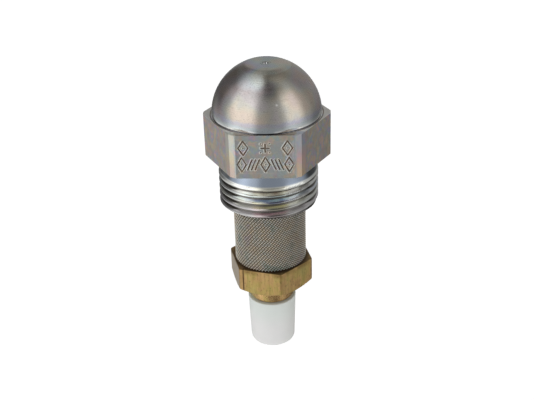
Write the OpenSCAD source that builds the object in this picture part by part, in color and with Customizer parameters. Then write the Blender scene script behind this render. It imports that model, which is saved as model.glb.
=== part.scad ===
// By-passing oil burner nozzle, in millimetres.
// +Z runs along the axis towards the orifice, and the origin is the centre of the
// body's rear face, where the thread ends. The front flat of the hexagon faces -Y.

/* [Body] */
// Width of the body's hexagon across its flats
hex_af = 15.875; // [15.2:0.025:16.2]
// Height of the body's hexagon
hex_h = 6.35; // [5.5:0.05:8]
// Radius lost at each hexagon corner, where the bar was turned
hex_corner_cut = 0.27; // [0.05:0.01:0.6]
// Radius of the dome
dome_r = 7.7; // [7.2:0.05:7.85]
// Height of the dome's flat above the hexagon
dome_h = 7.2; // [6.8:0.05:7.25]
// Diameter of the smooth neck under the hexagon
neck_d = 13.9; // [13.2:0.05:14.1]
// Length of the neck
neck_h = 2.05; // [1.5:0.05:4]
// Diameter of the orifice
orifice_d = 0.6; // [0.4:0.05:1]

/* [Body thread] */
// Outside diameter of the thread
thread_d = 14.288; // [14.2:0.001:14.35]
// Distance from one crest to the next
thread_pitch = 1.058; // [1:0.001:1.2]
// Number of grooves
thread_grooves = 4; // [3:1:4]
// Depth of a groove
thread_depth = 0.65; // [0.4:0.01:0.7]
// Width of the land on a crest
crest_w = 0.24; // [0.15:0.01:0.35]
// Length of the thread, up to the neck
thread_h = 5.05; // [5.05:0.05:6]

/* [Bores in the body] */
// Diameter of the counterbore that takes the strainer's top
counterbore_d = 11; // [10.9:0.05:11.4]
// Depth of the counterbore
counterbore_h = 1.4; // [1.2:0.1:2]
// Diameter of the bore for the stem's nose
nose_bore_d = 8.1; // [8.1:0.01:8.3]
// Height at which the nose bore ends
nose_bore_top = 7.4; // [7:0.1:8]
// Diameter of the bore for the retaining screw
screw_bore_d = 7.1; // [7.05:0.01:7.3]
// Height at which the screw bore ends
screw_bore_top = 15.2; // [15:0.1:15.5]
// Diameter of the chamber around the distributor
chamber_d = 6.4; // [6.3:0.05:6.6]

/* [Inner parts] */
// Diameter of the distributor's foot
distributor_d = 6.2; // [5.8:0.05:6.25]
// Diameter of the retaining screw over its thread
screw_d = 7; // [6.8:0.05:7]
// Length of the retaining screw
screw_h = 4.8; // [4:0.1:5]
// Diameter of the return hole through the retaining screw
return_d = 1.8; // [1.2:0.1:2.2]

/* [Strainer] */
// Outside diameter of the mesh
mesh_d = 10.6; // [10.2:0.05:10.7]
// Thickness of the woven mesh
mesh_t = 0.26; // [0.2:0.01:0.4]
// Length of mesh below the body
mesh_h = 9.6; // [8:0.1:12]
// Thickness of the support cage's wall
cage_t = 0.4; // [0.3:0.05:0.6]
// Diameter of the holes in the cage
cage_hole_d = 1.7; // [1:0.1:2]

/* [Stem] */
// Width of the stem's hexagon across its flats
stem_af = 11.11; // [10.8:0.01:11.2]
// Height of the stem's hexagon
stem_hex_h = 4; // [3:0.1:5]
// Slope of the chamfer on the hexagon's lower corners, in degrees
stem_chamfer_angle = 30; // [15:1:40]
// Radius lost at each corner of the stem's hexagon
stem_corner_cut = 0.1; // [0.05:0.01:0.3]
// Angle of the stem's hexagon against the body's, when screwed home
stem_angle = -14.6; // [-30:0.1:30]
// Diameter of the nose over its thread
nose_d = 8; // [7.9:0.01:8]
// Pitch of the nose thread
nose_pitch = 0.75; // [0.7:0.01:0.8]
// Diameter of the collar under the hexagon
collar_d = 6.8; // [6.4:0.1:7.2]
// Length of the collar, with the neck above it
collar_h = 2.93; // [2.4:0.01:4]
// Diameter of the spigot that carries the sleeve
spigot_d = 4.6; // [4.2:0.1:4.8]
// Length of the spigot
spigot_h = 6; // [5:0.1:6]

/* [Sealing sleeve] */
// Diameter of the sleeve at its top
sleeve_top_d = 7.26; // [6.8:0.02:8]
// Diameter of the sleeve at its bottom
sleeve_bottom_d = 6.76; // [6.2:0.02:7.4]
// Length of the sleeve
sleeve_h = 8.08; // [7.6:0.02:10]
// Diameter of the return port in the sleeve's end
port_d = 3; // [2.4:0.1:3.4]

/* [Hidden] */
$fn = 96;

cut = 0.2;              // how far a cutting solid runs past the surface it opens
root_w = 0.1;           // width of a thread groove's flat root
seat_gap = 0.02;        // gap between faces that meet across a moving joint
running_gap = 0.05;     // radial gap of a running fit

// body heights
neck_top = thread_h + neck_h;
hex_top = neck_top + hex_h;
dome_top = hex_top + dome_h;
groove_w = thread_pitch - crest_w;
first_crest = 0.6;      // height of the first crest's middle
rim_groove = 0.28;      // depth and height of the groove where the dome meets the hexagon
end_chamfer = 0.3;
runout_h = 0.2;         // height over which the crest falls to the neck

// swirl chamber: a right-angled cone whose tip is the orifice
orifice_land = 0.45;
seat_top = dome_top - orifice_land;
seat_d = 4.8;
seat_bottom = seat_top - (seat_d - orifice_d) / 2;
cone_gap = 0.02;
cone_tip_d = 1.8;
cone_base_d = 5.4;
cone_base = seat_top - cone_gap - (cone_base_d - orifice_d) / 2;
cone_tip = cone_base + (cone_base_d - cone_tip_d) / 2;
distributor_bottom = cone_base - 2.6;
flute_count = 3;

// retaining screw
screw_top = distributor_bottom;
screw_bottom = screw_top - screw_h;
screw_pitch = 0.75;

// strainer heights: the cartridge runs from the hexagon to the counterbore's floor
mesh_bottom = -mesh_h;
ring_top = counterbore_h - seat_gap;
flange_h = 0.6;
mesh_top = ring_top - flange_h;
ring_h = 1.6;
mesh_inner_d = mesh_d - 2 * mesh_t;
ring_inner_d = nose_d + 0.3;
cage_top = mesh_top - ring_h;
cage_bottom = mesh_bottom + ring_h;
cage_rows = 3;
cage_holes = 10;

// stem heights
stem_hex_top = mesh_bottom - seat_gap;
stem_hex_bottom = stem_hex_top - stem_hex_h;
collar_bottom = stem_hex_bottom - collar_h;
shoulder_h = 1.1;
tube_d = 5;
nose_bottom = counterbore_h + 0.1;
nose_top = nose_bottom + 5;
seal_h = 1.1;
seal_d = 3.9;
seal_seat_h = 0.6;
seal_top = screw_bottom - seat_gap;
stem_tip = seal_top - seal_h + seal_seat_h;
slot_w = 1.6;
stem_bore_d = 2.2;
collar_neck_d = 6;      // neck between the hexagon and the collar
collar_edge_r = 0.6;    // rounding of the collar's edges

// sleeve
sleeve_top = collar_bottom - seat_gap;
sleeve_bottom = sleeve_top - sleeve_h;
sleeve_edge_r = 0.7;

// Points of a quarter circle from one angle to the other, for a rounded edge.
function arc(centre_r, centre_z, radius, from, to, steps = 8) =
    [for (i = [0 : steps])
        let (angle = from + (to - from) * i / steps)
            [centre_r + radius * cos(angle), centre_z + radius * sin(angle)]];

// A hexagonal bar with its corners turned to a round, on the plane z = 0.
// One flat faces -Y.
module turned_hexagon(across_flats, corner_cut, height) {
    corner_r = across_flats / 2 / cos(30);
    intersection() {
        cylinder(h = height, r = corner_r, $fn = 6);
        cylinder(h = height, r = corner_r - corner_cut);
    }
}

// A stack of V-grooves to cut a thread's form out of a shaft.
// The cutter runs past the shaft's surface by the cut.
module groove_cutter(outer_r, depth, width, pitch, count, first_z) {
    slope = width / 2 / depth;
    for (i = [0 : count - 1]) {
        translate([0, 0, first_z + i * pitch])
            rotate_extrude()
                polygon([[outer_r - depth, -root_w / 2],
                         [outer_r + cut, -width / 2 - cut * slope],
                         [outer_r + cut, width / 2 + cut * slope],
                         [outer_r - depth, root_w / 2]]);
    }
}

// Outside of the body, turned in one piece below and above the hexagon.
module body_outside() {
    thread_r = thread_d / 2;
    rotate_extrude()
        polygon([[0, 0],
                 [thread_r - end_chamfer, 0],
                 [thread_r, end_chamfer],
                 [thread_r, thread_h - runout_h],
                 [neck_d / 2, thread_h],
                 [neck_d / 2, neck_top + cut],
                 [0, neck_top + cut]]);
    translate([0, 0, neck_top])
        turned_hexagon(hex_af, hex_corner_cut, hex_h);
    intersection() {
        translate([0, 0, hex_top])
            sphere(r = dome_r);
        translate([0, 0, hex_top - cut])
            cylinder(h = dome_h + cut, r = dome_r + cut);
    }
}

// Every bore in the body, from the counterbore at the rear to the orifice.
module body_bores() {
    translate([0, 0, -cut])
        cylinder(h = counterbore_h + cut, d = counterbore_d);
    cylinder(h = nose_bore_top, d = nose_bore_d);
    cylinder(h = screw_bore_top, d = screw_bore_d);
    cylinder(h = seat_bottom, d = chamber_d);
    translate([0, 0, seat_bottom])
        cylinder(h = seat_top - seat_bottom, d1 = seat_d, d2 = orifice_d);
    cylinder(h = dome_top + cut, d = orifice_d);
}

// Steel body: dome, hexagon, neck and male thread around a stepped bore.
module nozzle_body() {
    color([0.64, 0.62, 0.6])
        difference() {
            body_outside();
            body_bores();
            groove_cutter(thread_d / 2, thread_depth, groove_w, thread_pitch,
                          thread_grooves, first_crest + thread_pitch / 2);
            rotate_extrude()
                translate([dome_r - rim_groove, hex_top])
                    square([rim_groove + cut, rim_groove]);
        }
}

// Hardened cone whose tangential slots spin the oil, with the return hole
// through its middle.
module swirl_distributor() {
    slot_depth = 0.35;
    slot_offset = 0.75;
    slot_length = 4;
    flute_r = 0.9;
    flute_inset = 0.65;     // how deep a flute cuts into the foot
    return_tip_d = 0.8;
    return_step = cone_base - 0.6;
    color([0.5, 0.5, 0.52])
        difference() {
            union() {
                translate([0, 0, distributor_bottom])
                    cylinder(h = cone_base - distributor_bottom, d = distributor_d);
                translate([0, 0, cone_base])
                    cylinder(h = cone_tip - cone_base, d1 = cone_base_d, d2 = cone_tip_d);
            }
            translate([0, 0, distributor_bottom - cut])
                cylinder(h = return_step - distributor_bottom + cut, d = return_d);
            translate([0, 0, return_step - cut])
                cylinder(h = cone_tip - return_step + 2 * cut, d = return_tip_d);
            for (i = [0 : flute_count - 1]) {
                rotate([0, 0, i * 360 / flute_count]) {
                    // flute beside the foot, for the supply
                    translate([distributor_d / 2 + flute_r - flute_inset, 0,
                               distributor_bottom - cut])
                        cylinder(h = cone_base - distributor_bottom + 2 * cut, r = flute_r);
                    // slot down the cone, set off from the axis
                    translate([cone_base_d / 2, slot_offset, cone_base])
                        rotate([0, -45, 0])
                            translate([-slot_depth, -slot_depth / 2, -1])
                                cube([2 * slot_depth, slot_depth, slot_length]);
                }
            }
        }
}

// Hollow screw that clamps the distributor. Its rim notches pass the oil and
// take the spanner.
module retaining_screw() {
    notch_w = 1.3;
    notch_in = 2.55;
    screw_grooves = 5;
    groove_depth = 0.4;
    first_groove = 0.9;
    land = 0.2;             // width of a crest
    color([0.55, 0.54, 0.52])
        difference() {
            translate([0, 0, screw_bottom])
                cylinder(h = screw_h, d = screw_d);
            translate([0, 0, screw_bottom - cut])
                cylinder(h = screw_h + 2 * cut, d = return_d);
            groove_cutter(screw_d / 2, groove_depth, screw_pitch - land, screw_pitch,
                          screw_grooves, screw_bottom + first_groove);
            for (i = [0 : flute_count - 1]) {
                rotate([0, 0, i * 360 / flute_count])
                    translate([notch_in, -notch_w / 2, screw_bottom - cut])
                        cube([screw_d, notch_w, screw_h + 2 * cut]);
            }
        }
}

// Ring that parts the supply from the return where the stem meets the screw.
module return_seal() {
    color([0.9, 0.88, 0.8])
        translate([0, 0, seal_top - seal_h])
            difference() {
                cylinder(h = seal_h, d = seal_d - 2 * seat_gap);
                translate([0, 0, -cut])
                    cylinder(h = seal_h + 2 * cut, d = return_d);
            }
}

// The stem's hexagon, with its lower corners chamfered.
module stem_hexagon() {
    corner_r = stem_af / 2 / cos(30) - stem_corner_cut;
    chamfer_r = stem_af / 2 - 0.1;
    chamfer_h = (corner_r - chamfer_r) * tan(stem_chamfer_angle);
    intersection() {
        rotate([0, 0, stem_angle])
            turned_hexagon(stem_af, stem_corner_cut, stem_hex_h);
        rotate_extrude()
            polygon([[0, 0],
                     [chamfer_r, 0],
                     [corner_r + cut, chamfer_h + cut * tan(stem_chamfer_angle)],
                     [corner_r + cut, stem_hex_h + cut],
                     [0, stem_hex_h + cut]]);
    }
}

// Turned outside of the stem below its hexagon: neck, rounded collar, then the
// grooved spigot inside the sleeve.
module stem_tail() {
    bead_h = 2;
    collar_top = collar_bottom + bead_h;
    edge_centre_r = collar_d / 2 - collar_edge_r;
    barb_count = 3;
    barb_pitch = 1.7;
    barb_groove_w = 0.9;
    barb_depth = 0.3;
    first_barb = 1.2;
    translate([0, 0, stem_hex_bottom - collar_h + cut])
        cylinder(h = collar_h, d = collar_neck_d);
    rotate_extrude()
        polygon(concat(
            [[0, collar_bottom]],
            arc(edge_centre_r, collar_bottom + collar_edge_r, collar_edge_r, -90, 0),
            arc(edge_centre_r, collar_top - collar_edge_r, collar_edge_r, 0, 90),
            [[0, collar_top]]));
    difference() {
        translate([0, 0, collar_bottom - spigot_h])
            cylinder(h = spigot_h + cut, d = spigot_d);
        groove_cutter(spigot_d / 2, barb_depth, barb_groove_w, barb_pitch, barb_count,
                      collar_bottom - spigot_h + first_barb);
    }
}

// Threaded nose: a tube with three threaded ribs between its oil slots.
module stem_nose() {
    nose_grooves = 6;
    groove_depth = 0.42;
    first_groove = 0.6;
    land = 0.18;            // width of a crest
    difference() {
        translate([0, 0, nose_bottom])
            cylinder(h = nose_top - nose_bottom, d = nose_d);
        groove_cutter(nose_d / 2, groove_depth, nose_pitch - land, nose_pitch,
                      nose_grooves, nose_bottom + first_groove);
        for (i = [0 : 2]) {
            rotate([0, 0, i * 120])
                translate([tube_d / 2, -slot_w / 2, nose_bottom - cut])
                    cube([nose_d, slot_w, nose_top - nose_bottom + 2 * cut]);
        }
    }
}

// Brass stem: nose, tube, shoulder, hexagon, collar and spigot on one return bore.
module strainer_stem() {
    color([0.66, 0.55, 0.33])
        difference() {
            union() {
                stem_nose();
                translate([0, 0, stem_hex_top])
                    cylinder(h = stem_tip - stem_hex_top, d = tube_d);
                translate([0, 0, stem_hex_top - cut])
                    cylinder(h = shoulder_h + cut, d = ring_inner_d - 2 * running_gap);
                translate([0, 0, stem_hex_bottom])
                    stem_hexagon();
                stem_tail();
            }
            translate([0, 0, collar_bottom - spigot_h - cut])
                cylinder(h = stem_tip - collar_bottom + spigot_h + 2 * cut, d = stem_bore_d);
            translate([0, 0, stem_tip - seal_seat_h])
                cylinder(h = seal_seat_h + cut, d = seal_d);
        }
}

// Ring in the top of the strainer, with the flange that seats in the counterbore.
module upper_end_ring() {
    color([0.7, 0.58, 0.36])
        difference() {
            union() {
                translate([0, 0, mesh_top])
                    cylinder(h = flange_h, d = mesh_d);
                translate([0, 0, cage_top])
                    cylinder(h = ring_h + cut, d = mesh_inner_d);
            }
            translate([0, 0, cage_top - cut])
                cylinder(h = ring_h + flange_h + 2 * cut, d = ring_inner_d);
        }
}

// Ring in the bottom of the strainer, on the stem's shoulder.
module lower_end_ring() {
    color([0.7, 0.58, 0.36])
        translate([0, 0, mesh_bottom])
            difference() {
                cylinder(h = ring_h, d = mesh_inner_d);
                translate([0, 0, -cut])
                    cylinder(h = ring_h + 2 * cut, d = ring_inner_d);
            }
}

// Perforated tube that holds the mesh open between the two rings.
module support_cage() {
    cage_h = cage_top - cage_bottom;
    row_step = cage_h / cage_rows;
    color([0.68, 0.54, 0.32])
        difference() {
            translate([0, 0, cage_bottom])
                cylinder(h = cage_h, d = mesh_inner_d);
            translate([0, 0, cage_bottom - cut])
                cylinder(h = cage_h + 2 * cut, d = mesh_inner_d - 2 * cage_t);
            for (row = [0 : cage_rows - 1]) {
                for (i = [0 : cage_holes - 1]) {
                    translate([0, 0, cage_bottom + (row + 0.5) * row_step])
                        rotate([0, 90, (i + 0.25 + row / 2) * 360 / cage_holes])
                            translate([0, 0, mesh_inner_d / 2 - cage_t - cut])
                                cylinder(h = cage_t + 2 * cut, d = cage_hole_d);
                }
            }
        }
}

// Woven-wire sleeve, as the thin tube that its wires fill.
module strainer_mesh() {
    color([0.58, 0.53, 0.48])
        translate([0, 0, mesh_bottom])
            difference() {
                cylinder(h = mesh_top - mesh_bottom, d = mesh_d);
                translate([0, 0, -cut])
                    cylinder(h = mesh_top - mesh_bottom + 2 * cut, d = mesh_inner_d);
            }
}

// White sleeve that slides on the spigot and seals the return port.
module sealing_sleeve() {
    top_r = sleeve_top_d / 2;
    bottom_r = sleeve_bottom_d / 2;
    color([0.86, 0.87, 0.86])
        translate([0, 0, sleeve_bottom])
            difference() {
                rotate_extrude()
                    polygon(concat(
                        [[0, 0]],
                        arc(bottom_r - sleeve_edge_r, sleeve_edge_r, sleeve_edge_r, -90, 0),
                        [[top_r, sleeve_h], [0, sleeve_h]]));
                translate([0, 0, sleeve_h - spigot_h - cut])
                    cylinder(h = spigot_h + 2 * cut, d = spigot_d + 2 * running_gap);
                translate([0, 0, -cut])
                    cylinder(h = sleeve_h, d = port_d);
            }
}

nozzle_body();
swirl_distributor();
retaining_screw();
return_seal();
strainer_stem();
upper_end_ring();
lower_end_ring();
support_cage();
strainer_mesh();
sealing_sleeve();
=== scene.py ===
import math

import bmesh
import bpy
import numpy as np
from mathutils import Matrix, Vector


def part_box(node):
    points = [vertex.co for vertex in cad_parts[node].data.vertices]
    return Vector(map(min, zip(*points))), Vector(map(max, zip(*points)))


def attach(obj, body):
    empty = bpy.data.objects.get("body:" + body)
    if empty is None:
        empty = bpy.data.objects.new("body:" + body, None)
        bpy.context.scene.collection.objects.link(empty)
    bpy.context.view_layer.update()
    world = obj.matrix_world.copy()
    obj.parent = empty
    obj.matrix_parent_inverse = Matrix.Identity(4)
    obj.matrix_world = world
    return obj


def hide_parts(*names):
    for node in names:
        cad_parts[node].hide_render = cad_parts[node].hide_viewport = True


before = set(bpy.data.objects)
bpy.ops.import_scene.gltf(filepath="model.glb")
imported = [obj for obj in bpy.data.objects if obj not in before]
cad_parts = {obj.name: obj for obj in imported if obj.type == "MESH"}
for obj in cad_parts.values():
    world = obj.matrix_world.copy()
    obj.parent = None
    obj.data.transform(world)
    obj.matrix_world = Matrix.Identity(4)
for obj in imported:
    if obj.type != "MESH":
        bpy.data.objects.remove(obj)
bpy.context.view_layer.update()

# All sizes below are in millimetres, and MM turns them into Blender's metres.
MM = 0.001


def node_box(node):
    """Lowest and highest corner of a CAD node, in millimetres."""
    low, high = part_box(node)
    return low / MM, high / MM


_, BODY_HIGH = node_box("nozzle_body")
_, STEM_HIGH = node_box("strainer_stem")
MESH_LOW, MESH_HIGH = node_box("strainer_mesh")
SLEEVE_LOW, SLEEVE_HIGH = node_box("sealing_sleeve")

# Body
HEX_AF = 2 * BODY_HIGH.y
HEX_CORNER_R = BODY_HIGH.x
HEX_H = 6.35
DOME_TOP = BODY_HIGH.z
DOME_R = 7.7
HEX_TOP = DOME_TOP - 7.2
NECK_TOP = HEX_TOP - HEX_H
NECK_R = 6.95
SHOULDER_TOP = 5.05
BODY_THREAD = {"crest_r": 7.144, "depth": 0.65, "pitch": 1.058, "bottom": 0.0, "top": 4.75}
FIRST_CREST = 0.6
# The groove round the dome's foot, and the bright land above it.
RIM_GROOVE = {"depth": 0.16, "height": 0.12}
RIM_LAND_H = 0.34
# The middle of a small painted highlight on the front of the dome, in metres.
DOME_GLINT = (0.00163, -0.00653, 0.01718)

# Bores of the body: radius, and the height at which each ends.
COUNTERBORE = (5.5, 1.4)
NOSE_BORE = (4.05, 7.4)
SCREW_BORE = (3.55, 15.2)
CHAMBER_R = 3.2
SEAT_R = 2.4
ORIFICE_R = 0.17
ORIFICE_LAND = 0.45
# The dome's flat, from a faint ring inwards to the orifice: radius, and depth below the flat.
ORIFICE_SECTION = [(1.6, 0.0), (0.76, 0.0), (0.72, 0.02), (0.66, 0.02), (0.62, 0.0),
                   (0.42, 0.0), (0.39, 0.02), (0.28, 0.13), (ORIFICE_R, 0.24),
                   (ORIFICE_R, ORIFICE_LAND)]

# Stem
STEM_AF = 11.11
STEM_CORNER_R = STEM_AF / 2 / math.cos(math.radians(30)) - 0.1
STEM_HEX_TOP = MESH_LOW.z - 0.02
STEM_HEX_BOTTOM = STEM_HEX_TOP - 4.0
STEM_ANGLE = -14.6
STEM_BORE_R = 1.1
COLLAR_R = 3.4
COLLAR_BOTTOM = SLEEVE_HIGH.z + 0.02
COLLAR_TOP = COLLAR_BOTTOM + 2.0
COLLAR_NECK_R = 3.0
SPIGOT_R = 2.3
SPIGOT_H = 6.0
TUBE_R = 2.5
NOSE = {"bottom": 1.5, "top": 6.5, "crest_r": 4.0, "root_r": 3.58, "pitch": 0.75, "grooves": 6}
# Half the angle of each oil slot in the nose, in degrees.
HALF_SLOT = 13.5

# Strainer mesh
MESH_R = (MESH_HIGH.x + 5.04) / 2
WIRE_R = 0.0625
# Each family of wires: how many there are round the sleeve, and the slope of its wires.
# A positive slope climbs to the right as seen from outside.
RISING_WIRES = {"count": 72, "slope": 52.0}
FALLING_WIRES = {"count": 70, "slope": -38.0}

# Sleeve
SLEEVE_TOP_R = SLEEVE_HIGH.x
SLEEVE_BOTTOM_R = 3.38

# The floor lies this far below the sleeve, so that it hides no piece that is drawn out.
FLOOR_GAP = 11.5


# ---- mesh building

def smoothstep(low, high, value):
    """0 below low, 1 above high, and a smooth rise between them."""
    share = min(max((value - low) / (high - low), 0.0), 1.0)
    return share * share * (3 - 2 * share)


def ring(radius, height):
    """A round row of a turned mesh."""
    return lambda angle: (radius, height)


def arc_rows(centre_r, centre_z, radius, start, stop, steps):
    """Rows along an arc in the section, between two angles in degrees."""
    rows = []
    for i in range(steps + 1):
        turn = math.radians(start + (stop - start) * i / steps)
        rows.append(ring(centre_r + radius * math.cos(turn), centre_z + radius * math.sin(turn)))
    return rows


def hexagon_row(across_flats, corner_r, first_flat, height, inset=0.0):
    """A hexagonal row with turned corners. One flat faces the angle first_flat."""
    def row(angle):
        from_flat = (angle - first_flat + math.radians(30)) % math.radians(60) - math.radians(30)
        flat_r = (across_flats - 2 * inset) / 2 / math.cos(from_flat)
        return min(flat_r, corner_r - inset), height
    return row


def helix_rows(thread, profile, offset, limit):
    """Rows that climb along a right-hand helix and stop at the thread's two ends.

    profile lists (share of the pitch, share of the depth) from one crest to the next.
    limit(angle, height) gives the largest radius and the share of the depth allowed there.
    """
    pitch = thread["pitch"]
    shares = [share for share, _ in profile]
    depths = [depth for _, depth in profile]
    turns = math.ceil((thread["top"] - thread["bottom"]) / pitch) + 1
    rows = []
    for turn in range(-2, turns + 1):
        for share in shares[:-1]:
            def row(angle, at=turn + share):
                height = (at + angle / (2 * math.pi)) * pitch + offset
                height = min(max(height, thread["bottom"]), thread["top"])
                place = ((height - offset) / pitch - angle / (2 * math.pi)) % 1.0
                depth = float(np.interp(place, shares, depths)) * thread["depth"]
                largest, allowed = limit(angle, height)
                return min(thread["crest_r"] - depth * allowed, largest), height
            rows.append(row)
    return rows


def turned_mesh(name, angles, rows, joined=lambda i: i):
    """A ring-shaped mesh whose section is the closed loop of rows, one column per angle.

    joined(i) is the row that row i runs into after a whole turn, which differs on a helix.
    """
    columns = len(angles)
    verts = []
    for row in rows:
        for angle in angles:
            radius, height = row(angle)
            verts.append((radius * math.cos(angle) * MM, radius * math.sin(angle) * MM, height * MM))
    faces = []
    for i in range(len(rows)):
        following = (i + 1) % len(rows)
        below, above = i * columns, following * columns
        for j in range(columns - 1):
            faces.append((below + j, below + j + 1, above + j + 1, above + j))
        last = (below + columns - 1, joined(i) * columns, joined(following) * columns,
                above + columns - 1)
        if last[1] != last[2]:
            faces.append(last)
    mesh = bpy.data.meshes.new(name)
    mesh.from_pydata(verts, [], faces)
    work = bmesh.new()
    work.from_mesh(mesh)
    bmesh.ops.remove_doubles(work, verts=work.verts, dist=2e-7)
    bmesh.ops.dissolve_degenerate(work, edges=work.edges, dist=1e-8)
    bmesh.ops.recalc_face_normals(work, faces=work.faces)
    work.to_mesh(mesh)
    work.free()
    return add_object(name, mesh)


def add_object(name, data):
    """A new object in the scene."""
    thing = bpy.data.objects.new(name, data)
    bpy.context.scene.collection.objects.link(thing)
    return thing


def hand_over(piece, crease, node, body):
    """Shades a piece smooth but for edges over crease degrees, and puts it on its body."""
    piece.data.shade_smooth()
    piece.data.set_sharp_from_angle(angle=math.radians(crease))
    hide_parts(node)
    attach(piece, body)


def spread_angles(step, extra=(), fine=None, fine_step=None):
    """Column angles in radians: even steps, a finer window, and exact extra ones, all in degrees."""
    marks = set()
    at = -180.0
    while at < 180.0 - 1e-6:
        marks.add(round(at, 4))
        inside = fine is not None and fine[0] <= at < fine[1]
        at += fine_step if inside else step
    for exact in extra:
        exact = (exact + 180.0) % 360.0 - 180.0
        marks = {mark for mark in marks if abs(mark - exact) > 0.12}
        marks.add(round(exact, 4))
    return [math.radians(mark) for mark in sorted(marks)]


def hexagon_edges(across_flats, corner_r, first_flat):
    """Angles in degrees at which a hexagon's flats meet its turned corners."""
    half_flat = math.degrees(math.acos(across_flats / 2 / corner_r))
    edges = []
    for k in range(6):
        edges += [first_flat + 60 * k - half_flat, first_flat + 60 * k + half_flat]
    return edges


# ---- nozzle body

FRONT = -90.0
THREAD_PROFILE = [(0.0, 0.0), (0.04, 0.0), (0.08, 0.05), (0.25, 0.48), (0.39, 0.92),
                  (0.46, 1.0), (0.54, 1.0), (0.61, 0.92), (0.75, 0.48), (0.92, 0.05),
                  (0.96, 0.0), (1.0, 0.0)]


def body_thread_limit(_angle, height):
    """The end chamfer of the body's thread, and the run-out of its groove near the top."""
    chamfer = 0.3
    largest = min(BODY_THREAD["crest_r"] - chamfer + height, BODY_THREAD["crest_r"])
    run_out = smoothstep(BODY_THREAD["top"] - 0.28, BODY_THREAD["top"] - 0.06, height)
    return largest, 1 - run_out


BODY_INNER_ROWS = [ring(COUNTERBORE[0] + 0.08, 0.0)]


def body_row_joined(i):
    """The row of the body that row i runs into after a turn: one pitch higher in the thread."""
    first = len(BODY_INNER_ROWS)
    last = first + len(helix_rows(BODY_THREAD, THREAD_PROFILE, 0.0, body_thread_limit)) - 1
    return min(i + len(THREAD_PROFILE) - 1, last) if first <= i <= last else i


def body_rows():
    """The body's section as one loop: up the outside, and down through the bores."""
    crest_at_front = FIRST_CREST - FRONT / 360 * BODY_THREAD["pitch"]
    rows = list(BODY_INNER_ROWS)
    rows += helix_rows(BODY_THREAD, THREAD_PROFILE, crest_at_front, body_thread_limit)
    rows += [ring(BODY_THREAD["crest_r"], SHOULDER_TOP - 0.25),
             ring(BODY_THREAD["crest_r"] - 0.03, SHOULDER_TOP - 0.18),
             ring(NECK_R + 0.03, SHOULDER_TOP - 0.03), ring(NECK_R, SHOULDER_TOP + 0.05),
             ring(NECK_R, NECK_TOP - 0.12), ring(NECK_R + 0.03, NECK_TOP - 0.03),
             ring(NECK_R + 0.12, NECK_TOP)]
    return rows + body_hexagon_rows() + dome_rows() + body_bore_rows()


def body_hexagon_rows():
    """The body's hexagon, from its lower edge to its upper one."""
    flat = math.radians(FRONT)
    edge, steps = 0.05, 13

    def row(height, inset=0.0):
        return hexagon_row(HEX_AF, HEX_CORNER_R, flat, height, inset)

    rows = [row(NECK_TOP, 3 * edge), row(NECK_TOP, edge)]
    for i in range(steps + 1):
        rows.append(row(NECK_TOP + edge + (HEX_H - 2 * edge) * i / steps))
    return rows + [row(HEX_TOP, edge), row(HEX_TOP, 2 * edge)]


def dome_rows():
    """The groove and the land at the dome's foot, the dome, and its flat with the orifice."""
    groove_r, groove_top = DOME_R - RIM_GROOVE["depth"], HEX_TOP + RIM_GROOVE["height"]
    rows = [ring(groove_r + 0.22, HEX_TOP), ring(groove_r + 0.06, HEX_TOP + 0.02),
            ring(groove_r, HEX_TOP + 0.07), ring(groove_r + 0.05, groove_top)]
    land_h = RIM_GROOVE["height"] + RIM_LAND_H
    land_angle = math.degrees(math.asin(land_h / DOME_R))
    land_r = DOME_R * math.cos(math.radians(land_angle))
    rows += [ring(land_r - 0.05, groove_top + 0.004), ring(land_r, groove_top + 0.05),
             ring(land_r, HEX_TOP + land_h - 0.02)]
    flat_angle = math.degrees(math.asin((DOME_TOP - HEX_TOP) / DOME_R))
    flat_r = DOME_R * math.cos(math.radians(flat_angle))
    rows += arc_rows(0, HEX_TOP, DOME_R, land_angle, flat_angle - 1.0, 38)
    rows += [ring(flat_r + 0.03, DOME_TOP - 0.03), ring(flat_r - 0.06, DOME_TOP)]
    return rows + [ring(radius, DOME_TOP - depth) for radius, depth in ORIFICE_SECTION]


def body_bore_rows():
    """The body's inside, from the seat under the orifice down to the counterbore."""
    seat_bottom = DOME_TOP - ORIFICE_LAND - (SEAT_R - ORIFICE_R)
    rows = [ring(SEAT_R, seat_bottom), ring(CHAMBER_R, seat_bottom),
            ring(CHAMBER_R, SCREW_BORE[1]), ring(SCREW_BORE[0], SCREW_BORE[1])]
    rows += female_thread_rows(SCREW_BORE[0], SCREW_BORE[1] - 0.6, NOSE_BORE[1] + 0.9, 0.22)
    rows += [ring(SCREW_BORE[0], NOSE_BORE[1]), ring(NOSE_BORE[0], NOSE_BORE[1])]
    rows += female_thread_rows(NOSE_BORE[0], NOSE_BORE[1] - 0.5, COUNTERBORE[1] + 0.3, 0.25)
    rows += [ring(NOSE_BORE[0], COUNTERBORE[1] + 0.12), ring(NOSE_BORE[0] + 0.12, COUNTERBORE[1]),
             ring(COUNTERBORE[0], COUNTERBORE[1]), ring(COUNTERBORE[0], 0.08)]
    return rows


def female_thread_rows(radius, top, bottom, depth):
    """Grooves of a female thread, from the top of a bore down."""
    rows = []
    pitch = NOSE["pitch"]
    count = int((top - bottom) / pitch)
    for i in range(count):
        crest = top - i * pitch
        rows += [ring(radius, crest), ring(radius, crest - 0.12),
                 ring(radius + depth, crest - 0.12 - (pitch - 0.2) / 2),
                 ring(radius + depth, crest - 0.2 - (pitch - 0.2) / 2)]
    rows.append(ring(radius, top - count * pitch))
    return rows


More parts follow.
